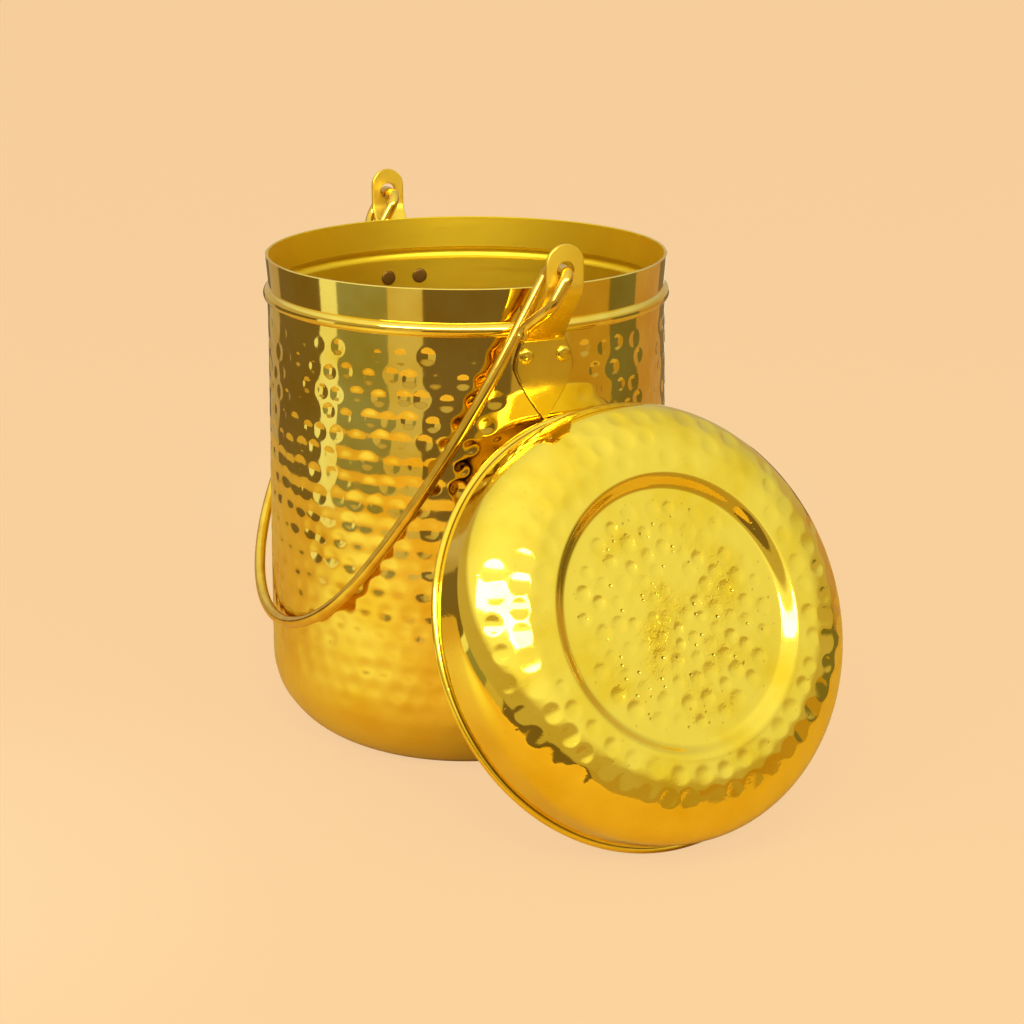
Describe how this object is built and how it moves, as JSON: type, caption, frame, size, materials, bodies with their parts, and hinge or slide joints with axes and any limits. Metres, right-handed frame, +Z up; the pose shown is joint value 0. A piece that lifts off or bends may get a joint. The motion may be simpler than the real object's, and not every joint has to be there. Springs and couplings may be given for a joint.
{
  "type": "tiffin carrier",
  "caption": "Hammered brass food carrier: round pot with riveted ears, a swinging wire bail and a loose bowl-shaped lid that fits over its plain collar.",
  "frame": {"origin": "centre of the pot's flat base, on the floor", "axes": "+Z up along the pot's axis; -Y towards the front ear; -X the side the bail hangs on"},
  "size_m": [0.1681, 0.2494, 0.189],
  "materials": {
    "hammered_brass": "polished, hammered",
    "ear_brass": "polished strip",
    "rivet_brass": "polished",
    "wire_brass": "drawn wire, polished",
    "lid_brass": "polished, hammered"
  },
  "bodies": {
    "pot": {"pot_body": "hammered_brass", "front_ear": "ear_brass", "rear_ear": "ear_brass", "front_left_rivet": "rivet_brass", "front_right_rivet": "rivet_brass", "rear_left_rivet": "rivet_brass", "rear_right_rivet": "rivet_brass"},
    "bail": {"bail_handle": "wire_brass"},
    "lid": {"lid": "lid_brass"}
  },
  "joints": [
    {"name": "bail_swing", "type": "hinge", "parent": "pot", "child": "bail", "pos_m": [0, 0, 0.18029], "axis": [0, 1, 0], "range_deg": [0, 280]},
    {"name": "lid_away", "type": "slide", "parent": "pot", "child": "lid", "axis": [0.1581, -0.8785, 0.4509], "range_m": [0, 0.12]}
  ]
}
